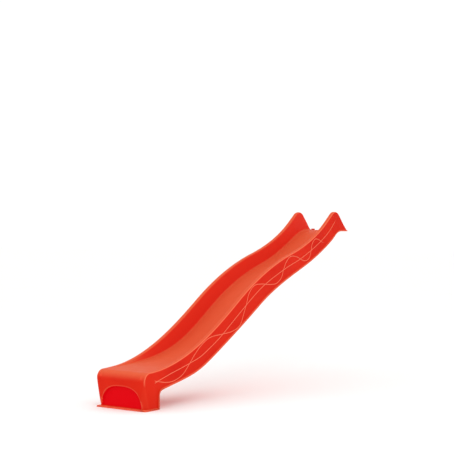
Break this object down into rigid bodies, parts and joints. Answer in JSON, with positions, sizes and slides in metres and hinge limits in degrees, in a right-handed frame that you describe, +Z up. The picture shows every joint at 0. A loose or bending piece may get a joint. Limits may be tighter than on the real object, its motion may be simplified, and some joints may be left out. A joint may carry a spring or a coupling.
{
  "type": "wave slide",
  "caption": "Straight playground wave slide: hollow red moulding with side walls, tall entry ears, flat lip for a deck, arched foot and lip fixings.",
  "frame": {"origin": "centre of the bounding box on the ground plane (z = 0 is the underside of the foot)", "axes": "+X along the run from the platform lip to the exit, +Z up, +Y to the left of someone sliding down; the slide is symmetric about y = 0"},
  "size_m": [2.645, 0.448, 1.3627],
  "materials": {
    "shell_red": "semi-gloss moulded polyethylene",
    "cap_red": "satin moulded plastic",
    "fixing_steel": "zinc plated",
    "plug_black": "moulded nylon"
  },
  "bodies": {
    "root": {"upper_shell": "shell_red", "lower_shell": "shell_red", "lip_screws": "fixing_steel", "lip_washers": "fixing_steel", "cap_collars": "cap_red", "cap_lids": "cap_red", "anchor_eyelets": "cap_red", "vent_plugs": "plug_black"}
  },
  "joints": []
}
